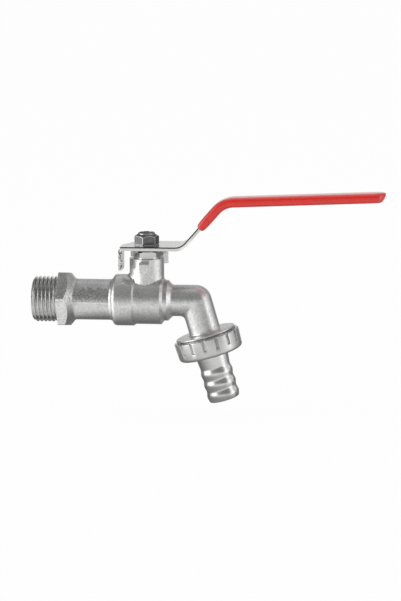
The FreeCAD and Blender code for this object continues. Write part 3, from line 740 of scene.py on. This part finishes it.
def sleeveLine():
    one = Vector(sleeve["bendOne"])
    two = Vector(sleeve["bendTwo"])
    tip = Vector(sleeve["tip"])
    start = one + (two - one).normalized() * sleeve["start"]
    end = tip + (tip - two).normalized() * sleeve["tipWall"]
    bend = roundCorners([tuple(start), (*two, sleeve["bendRadius"]), tuple(end)], 10)
    rise = [start.lerp(bend[1], share) for share in sleeve["riseShares"]]
    grip = [bend[-2].lerp(end, share) for share in sleeve["gripShares"]]
    return rise + bend[1:-1] + grip


# A rounded oblong section, (across, up)
def sectionPoints(width, thick):
    points = []
    for step in range(sleeve["sectionPoints"]):
        angle = math.tau * (step + 0.5) / sleeve["sectionPoints"]
        side, rise = math.cos(angle), math.sin(angle)
        across = math.copysign(abs(side) ** sleeve["sidePower"], side)
        up = math.copysign(abs(rise) ** sleeve["upPower"], rise)
        points.append((across * width / 2, up * thick / 2))
    return points


def makeSleeve():
    line = sleeveLine()
    end = line[-1]
    half = sleeve["width"] / 2
    deselectAll()
    bpy.ops.mesh.primitive_circle_add(vertices=sleeve["sectionPoints"], radius=mm, fill_type="NOTHING")
    piece = bpy.context.object
    piece.name = "lever_sleeve_dipped"
    bpy.ops.object.mode_set(mode="EDIT")
    for i, point in enumerate(line):
        ahead = (line[min(i + 1, len(line) - 1)] - line[max(i - 1, 0)]).normalized()
        up = Vector((-ahead.y, ahead.x))
        lip = min((point - line[0]).length / sleeve["lipRun"], 1) ** 0.5
        toTip = min((end - point).length / half, 1)
        tipShare = math.sqrt(max(1 - (1 - toTip) ** 2, 0.0))
        width = sleeve["lipWidth"] + (sleeve["width"] - sleeve["lipWidth"]) * lip
        width *= max(tipShare, sleeve["leastWidth"])
        thick = sleeve["lipThick"] + (sleeve["thick"] - sleeve["lipThick"]) * lip
        thick *= max(min(tipShare * sleeve["tipFullness"], 1), sleeve["leastThick"])
        # The tip thins from below
        lift = (sleeve["thick"] - thick) / 2 * sleeve["tipLift"] if toTip < 1 else 0
        if i > 0:
            bpy.ops.mesh.extrude_region_move(TRANSFORM_OT_translate={"value": (0, 0, 0)})
        mesh = bmesh.from_edit_mesh(piece.data)
        ring = sorted((v for v in mesh.verts if v.select), key=lambda v: v.index)
        for vertex, (across, rise) in zip(ring, sectionPoints(width, thick)):
            place = point + up * (rise + lift)
            vertex.co = Vector((place.x + stemX / mm, across, place.y)) * mm
        bmesh.update_edit_mesh(piece.data)
    bpy.ops.mesh.edge_face_add()
    bpy.ops.mesh.inset(thickness=sleeve["tipInset"] * mm)
    bpy.ops.mesh.merge(type="CENTER")
    bpy.ops.mesh.select_all(action="DESELECT")
    # The lip turns in to the plate
    mesh = bmesh.from_edit_mesh(piece.data)
    for edge in mesh.edges:
        if edge.is_boundary:
            edge.select = True
    bmesh.update_edit_mesh(piece.data)
    bpy.ops.mesh.extrude_region_move(TRANSFORM_OT_translate={"value": (0, 0, 0)})
    bpy.ops.transform.resize(value=sleeve["lipTurn"])
    bpy.ops.mesh.extrude_region_move(TRANSFORM_OT_translate={"value": Vector(sleeve["lipStep"]) * mm})
    bpy.ops.mesh.edge_face_add()
    bpy.ops.mesh.select_all(action="SELECT")
    bpy.ops.mesh.normals_make_consistent(inside=False)
    bpy.ops.object.mode_set(mode="OBJECT")
    addModifier(piece, "SUBSURF", levels=2, render_levels=2)
    applyModifiers(piece)
    smooth(piece, 80)
    return piece


finishPiece(makeSleeve(), redVinyl, "handle", "red_vinyl", "lever_sleeve")


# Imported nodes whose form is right: clean copies of those that show, and materials on the rest. Each row is
# the copy's name, material, body, slot and the angle up to which its faces are shaded smooth
shown = {
    "valve_body": ("valve_body_forged", nickelBody, "valve", "nickel_cast", 34),
    "lever": ("lever_plate", steelPlate, "handle", "plated_steel", 30),
    "gland_nut": ("gland_nut_hex", nickelGland, "valve", "nickel_turned", 30),
    "lever_nut": ("lever_nut_hex", steelNut, "handle", "nut_steel", 30),
    "stem": ("stem_turned", bareBrass, "handle", "bare_brass", 30),
    "nut_insert": ("nut_insert_ring", insertNylon, "handle", "nylon", 30),
    "hose_washer": ("hose_washer_ring", sealRubber, "washer", "seal_rubber", 30),
}
for node, (name, material, body, slot, angle) in shown.items():
    piece = cleanCopy(node, name)
    smooth(piece, angle)
    finishPiece(piece, material, body, slot, node)

inside = {
    "ball": chromedBall, "seat_ring_inlet": seatPlastic, "seat_ring_outlet": seatPlastic,
    "body_seal_ring": sealRubber, "thrust_washer": seatPlastic, "stem_packing": seatPlastic,
    "stem_o_ring": sealRubber,
}
for node, material in inside.items():
    nodes[node].data.materials.clear()
    nodes[node].data.materials.append(material)
print("packed nodes dressed")


# Stage: pale floor, soft boxes, the photo's viewing angle
stage = {
    "yaw": 6.63, "pitch": 9.77, "roll": -0.33, "distance": 1.0, "centre": (64.67, 0, 0.08),
    "focal": 2195, "photoHeight": 601, "sensor": 36, "middle": (0.06, 0, 0),
    "floorHeight": -0.054, "floorSize": 30.0, "paperWhite": 0.96, "softLight": 1.7,
}


def makeCamera():
    yaw = math.radians(stage["yaw"])
    pitch = math.radians(stage["pitch"])
    level = math.cos(pitch)
    forward = Vector((-math.sin(yaw) * level, math.cos(yaw) * level, -math.sin(pitch)))
    data = bpy.data.cameras.new("camera")
    data.sensor_fit = "VERTICAL"
    data.sensor_height = stage["sensor"]
    data.lens = stage["sensor"] * stage["focal"] / stage["photoHeight"]
    camera = bpy.data.objects.new("camera", data)
    bpy.context.scene.collection.objects.link(camera)
    camera.location = Vector(stage["centre"]) * mm - forward * stage["distance"]
    look = forward.to_track_quat("-Z", "Y")
    roll = Matrix.Rotation(math.radians(stage["roll"]), 3, "Z").to_quaternion()
    camera.rotation_mode = "QUATERNION"
    camera.rotation_quaternion = look @ roll
    bpy.context.scene.camera = camera


# What metal mirrors of the room, by the direction looked in. The levels run round from behind (0) by way
# of straight below (0.25), the front (0.5) and straight above (0.75) to behind again. A card stands upright
# toward (right, behind): it starts where the cosine to it passes from and is full an edge further. Cards with
# above 1 count over the horizon only
room = {
    "round": [
        (0.0, 0.8), (0.083, 0.36), (0.19, 0.14), (0.306, 0.33), (0.36, 0.54), (0.42, 0.84), (0.458, 0.95),
        (0.485, 0.8), (0.515, 0.46), (0.552, 0.22), (0.583, 0.2), (0.625, 0.3), (0.68, 0.22),
        (0.725, 0.52), (0.76, 0.45), (0.806, 0.14), (0.872, 0.14), (0.944, 0.6), (1.0, 0.95),
    ],
    "cards": [
        {"toward": (-0.93, -0.37), "from": 0.84, "edge": 0.1, "level": 1.5, "above": 0},
        {"toward": (0.985, -0.17), "from": 0.92, "edge": 0.06, "level": 1.15, "above": 0},
        {"toward": (0.64, 0.77), "from": 0.9, "edge": 0.07, "level": 0.2, "above": 0},
        {"toward": (-0.64, 0.77), "from": 0.9, "edge": 0.07, "level": 0.22, "above": 0},
        {"toward": (0.94, 0.34), "from": 0.86, "edge": 0.08, "level": 0.85, "above": 1},
    ],
    "topFade": 0.8, "topRun": 0.5, "horizon": 0.133, "horizonRun": 0.167,
}


def roomLevel(graph, direction):
    right = graph.part(direction, 0)
    behind = graph.part(direction, 1)
    up = graph.part(direction, 2)
    turn = up.math("ARCTAN2", behind * -1) * (0.5 / math.pi) + 0.5
    level = graph.levels(turn, room["round"])
    flat = (right * right + behind * behind + 0.0001) ** -0.5
    low = up.math("ABSOLUTE").fall(room["topFade"], room["topRun"])
    high = up.climb(room["horizon"], room["horizonRun"])
    for card in room["cards"]:
        facing = (right * card["toward"][0] + behind * card["toward"][1]) * flat
        share = facing.climb(card["from"], card["edge"]) * low
        share = share * (high * card["above"] + (1 - card["above"]))
        level = level * (1 - share) + share * card["level"]
    return level


def makeFloor():
    deselectAll()
    place = (stage["middle"][0], 0, stage["floorHeight"])
    bpy.ops.mesh.primitive_plane_add(size=stage["floorSize"], location=place)
    floor = bpy.context.object
    floor.name = "floor"
    finish = Finish("floorPaper")
    finish.set(colour=(0.9, 0.9, 0.9, 1), rough=0.9, specular=0.1)
    # Metal sees the lower half of the room in the floor
    drop = (0, 0, stage["floorHeight"])
    below = finish.node("ShaderNodeVectorMath", {"operation": "ADD"}, {0: finish.place(), 1: drop})
    below = finish.node("ShaderNodeVectorMath", {"operation": "NORMALIZE"}, {0: below})
    mirrored = finish.node("ShaderNodeEmission", inputs={"Color": roomLevel(finish, below), "Strength": 1.0})
    white = finish.node("ShaderNodeEmission", inputs={"Color": (1, 1, 1, 1), "Strength": 1.0})
    fromCamera = finish.node("ShaderNodeLightPath", output="Is Camera Ray")
    fromGloss = finish.node("ShaderNodeLightPath", output="Is Glossy Ray")
    fromGloss = fromGloss + finish.node("ShaderNodeLightPath", output="Is Transmission Ray")
    paper = Wire(finish.tree, finish.shader.outputs[0])
    whiteShare = fromCamera * stage["paperWhite"]
    seen = finish.node("ShaderNodeMixShader", inputs={0: whiteShare, 1: paper, 2: white})
    both = finish.node("ShaderNodeMixShader", inputs={0: fromGloss, 1: seen, 2: mirrored})
    finish.tree.links.new(both.socket, finish.tree.nodes["Material Output"].inputs[0])
    floor.data.materials.append(finish.material)


# The studio round the object: white to the camera, and the room to everything else
def makeWorld():
    world = bpy.data.worlds.new("studio")
    bpy.context.scene.world = world
    world.use_nodes = True
    graph = Graph(world.node_tree)
    direction = graph.node("ShaderNodeTexCoord", output="Generated")
    # What is not mirrored, such as the light on the vinyl, comes from a brighter room
    notMirrored = 1 - graph.node("ShaderNodeLightPath", output="Is Glossy Ray")
    level = roomLevel(graph, direction) * (notMirrored * (stage["softLight"] - 1) + 1)
    dim = graph.node("ShaderNodeBackground", inputs={"Color": level, "Strength": 1.0})
    white = graph.node("ShaderNodeBackground", inputs={"Color": (1, 1, 1, 1), "Strength": 1.0})
    fromCamera = graph.node("ShaderNodeLightPath", output="Is Camera Ray")
    both = graph.node("ShaderNodeMixShader", inputs={0: fromCamera, 1: dim, 2: white})
    graph.tree.links.new(both.socket, graph.tree.nodes["World Output"].inputs[0])


# Each box of light stands in a direction in degrees round from the front, positive to the right, and up
boxes = {
    "leftBox": {"round": -70, "up": 8, "away": 0.6, "size": (0.42, 0.5), "level": 1.5},
    "rightBox": {"round": 80, "up": 10, "away": 0.7, "size": (0.16, 0.5), "level": 0.65},
    "topBox": {"round": 160, "up": 62, "away": 0.8, "size": (0.9, 0.5), "level": 0.5},
}


def addLight(name, box):
    turn = math.radians(box["round"])
    up = math.radians(box["up"])
    toward = Vector((math.sin(turn) * math.cos(up), -math.cos(turn) * math.cos(up), math.sin(up)))
    data = bpy.data.lights.new(name, "AREA")
    data.shape = "RECTANGLE"
    data.size, data.size_y = box["size"]
    data.energy = box["level"] * math.pi * data.size * data.size_y
    lamp = bpy.data.objects.new(name, data)
    bpy.context.scene.collection.objects.link(lamp)
    lamp.location = Vector(stage["middle"]) + toward * box["away"]
    lamp.rotation_mode = "QUATERNION"
    lamp.rotation_quaternion = (-toward).to_track_quat("-Z", "Y")


makeCamera()
makeFloor()
makeWorld()
for name, box in boxes.items():
    addLight(name, box)
bpy.context.scene.view_settings.view_transform = "Standard"
print("stage ready")
